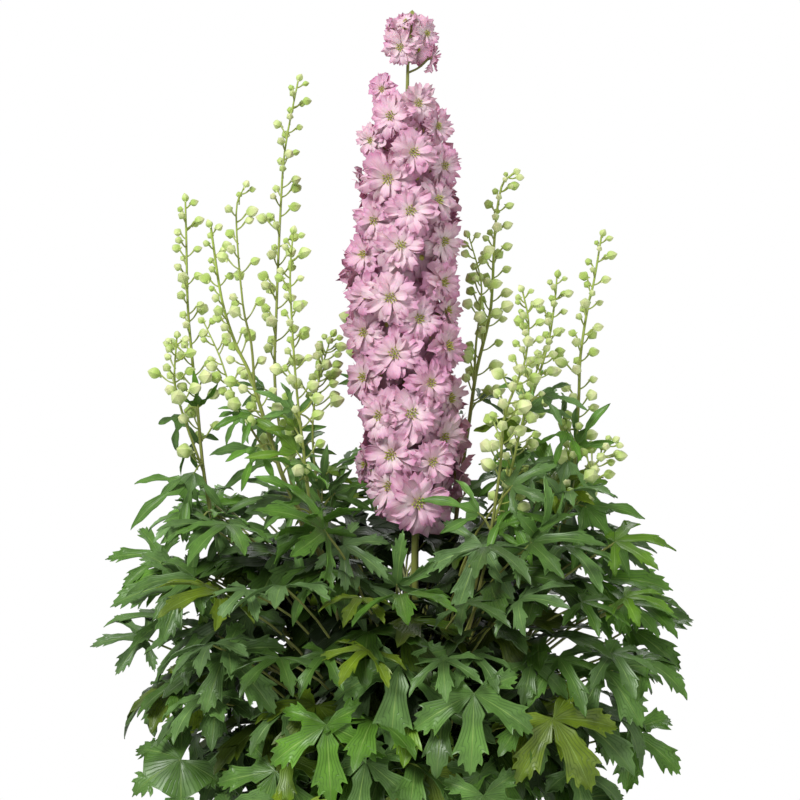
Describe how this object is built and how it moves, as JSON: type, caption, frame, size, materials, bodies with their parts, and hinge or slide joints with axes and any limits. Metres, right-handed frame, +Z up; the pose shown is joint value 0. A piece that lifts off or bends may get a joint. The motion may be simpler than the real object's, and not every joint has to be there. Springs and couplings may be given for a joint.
{
  "type": "potted delphinium plant",
  "caption": "Potted garden perennial with a tall spike of pink double florets, slender side stems of round buds and a mound of deeply cut green leaves",
  "frame": {"origin": "centre of the pot's flat underside, where it stands", "axes": "+Z up along the flower spike; the plant's front, as pictured, looks along -Y; +X is to its right as seen from the front"},
  "size_m": [0.6545, 0.4372, 1.095],
  "materials": {
    "pot": "matte",
    "soil": "matte",
    "stem": "satin",
    "petal": "matte",
    "leaf": "satin"
  },
  "bodies": {
    "root": {"pot": "pot", "soil": "soil", "flower_stem": "stem", "flower_head": "petal", "flower_tip": "petal", "bud_stem_left_tall": "stem", "bud_stem_left_outer": "stem", "bud_stem_left_inner": "stem", "bud_stem_left_near": "stem", "bud_stem_left_low": "stem", "bud_stem_right_tall": "stem", "bud_stem_right_outer": "stem", "bud_stem_right_mid": "stem", "bud_stem_right_near": "stem", "bud_stem_right_low": "stem", "bud_stem_back_left": "stem", "leaf_01": "leaf", "leaf_02": "leaf", "leaf_03": "leaf", "leaf_04": "leaf", "leaf_05": "leaf", "leaf_06": "leaf", "leaf_07": "leaf", "leaf_08": "leaf", "leaf_09": "leaf", "leaf_10": "leaf", "leaf_11": "leaf", "leaf_12": "leaf", "leaf_13": "leaf", "leaf_14": "leaf", "leaf_15": "leaf", "leaf_16": "leaf", "leaf_17": "leaf", "leaf_18": "leaf", "leaf_19": "leaf", "leaf_20": "leaf", "leaf_21": "leaf", "leaf_22": "leaf", "leaf_23": "leaf", "leaf_24": "leaf", "leaf_25": "leaf", "leaf_26": "leaf", "leaf_27": "leaf", "leaf_28": "leaf", "leaf_29": "leaf", "leaf_30": "leaf", "leaf_31": "leaf", "leaf_32": "leaf", "leaf_33": "leaf"}
  },
  "joints": []
}
